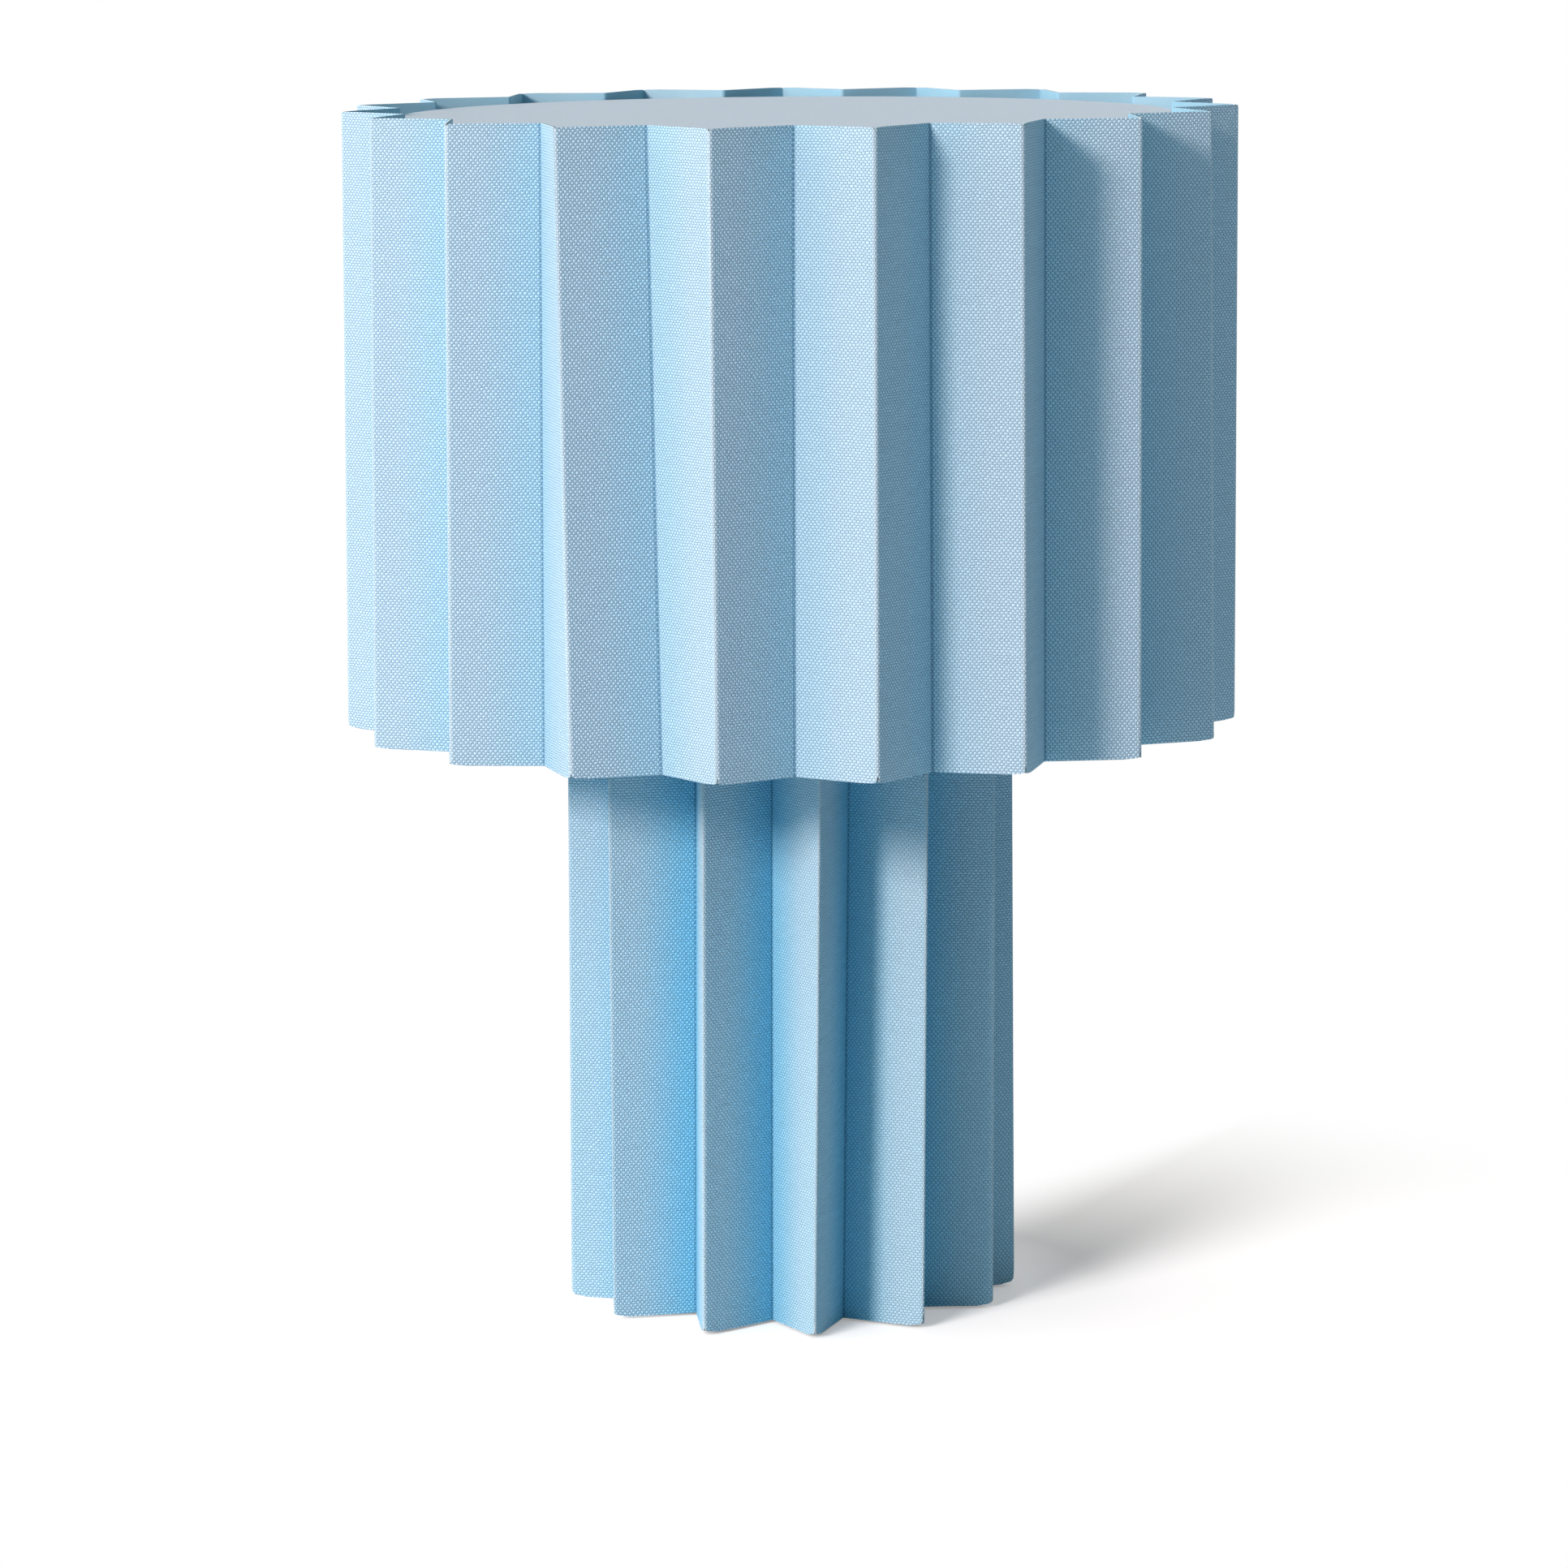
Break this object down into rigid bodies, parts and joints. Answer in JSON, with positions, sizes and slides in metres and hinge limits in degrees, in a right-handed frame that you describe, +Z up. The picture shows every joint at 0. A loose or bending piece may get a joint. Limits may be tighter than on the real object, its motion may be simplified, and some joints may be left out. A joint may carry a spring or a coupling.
{
  "type": "pleated table lamp",
  "caption": "Table lamp with a pleated canvas drum shade, closed by a flat top disc, on a pleated canvas column; bulb, lampholder and weighted foot inside.",
  "frame": {"origin": "on the table, under the middle of the lamp", "axes": "+Z up, -Y the front as pictured, +X to the right"},
  "size_m": [0.3188, 0.3181, 0.4308],
  "materials": {
    "blue_canvas": "matt plain weave",
    "disc_cloth": "smooth fine weave on board",
    "core_board": "matt",
    "grey_felt": "matt felt",
    "black_iron": "rough",
    "zinc_steel": "zinc plated",
    "white_steel": "white powder coat",
    "white_plastic": "matt",
    "bulb_plastic": "gloss",
    "holder_ceramic": "unglazed",
    "contact_brass": "plain",
    "cap_aluminium": "plain",
    "solder_tin": "plain",
    "black_insulator": "glossy",
    "opal_dome": "opal"
  },
  "bodies": {
    "base": {"base_pleats": "blue_canvas", "base_core": "core_board", "base_top_disc": "white_steel", "felt_pad": "grey_felt", "ballast_weight": "black_iron", "threaded_tube": "zinc_steel", "stem_tube": "zinc_steel", "bottom_washer": "zinc_steel", "top_washer": "zinc_steel", "bottom_nut": "zinc_steel", "top_nut": "zinc_steel", "cord_inlet": "white_plastic", "cord_inlet_nut": "white_plastic", "holder_cap": "white_plastic", "holder_shell": "white_plastic", "holder_insert": "holder_ceramic", "thread_shell": "contact_brass", "centre_contact": "contact_brass", "terminal_screws": "contact_brass", "lock_screw": "zinc_steel", "seat_ring": "white_plastic", "clamp_ring": "white_plastic"},
    "carrier": {"carrier_hub": "white_steel", "carrier_arm_1": "white_steel", "carrier_arm_2": "white_steel", "carrier_arm_3": "white_steel"},
    "shade": {"shade_pleats": "blue_canvas", "shade_top_ring": "white_steel", "shade_bottom_ring": "white_steel"},
    "lid": {"top_disc": "disc_cloth"},
    "bulb_contact": {"bulb_button": "solder_tin"},
    "bulb": {"bulb_insulator": "black_insulator", "bulb_cap": "cap_aluminium", "bulb_collar": "bulb_plastic", "bulb_light_board": "cap_aluminium", "bulb_globe": "opal_dome"}
  },
  "joints": [
    {"name": "carrier_turn", "type": "hinge", "parent": "base", "child": "carrier", "pos_m": [0, 0, 0.26845], "axis": [0, 0, 1], "continuous": true},
    {"name": "shade_lift", "type": "slide", "parent": "carrier", "child": "shade", "axis": [0, 0, 1], "range_m": [0, 0.18]},
    {"name": "lid_lift", "type": "slide", "parent": "shade", "child": "lid", "axis": [0, 0, 1], "range_m": [0, 0.06]},
    {"name": "bulb_rise", "type": "slide", "parent": "base", "child": "bulb_contact", "axis": [0, 0, 1], "range_m": [0, 0.0145]},
    {"name": "bulb_turn", "type": "hinge", "parent": "bulb_contact", "child": "bulb", "pos_m": [0, 0, 0.2615], "axis": [0, 0, 1], "range_deg": [0, 1440]}
  ],
  "couplings": [
    {"joint": "bulb_rise", "follows": "bulb_turn", "m_per_rad": 0.00057614}
  ]
}
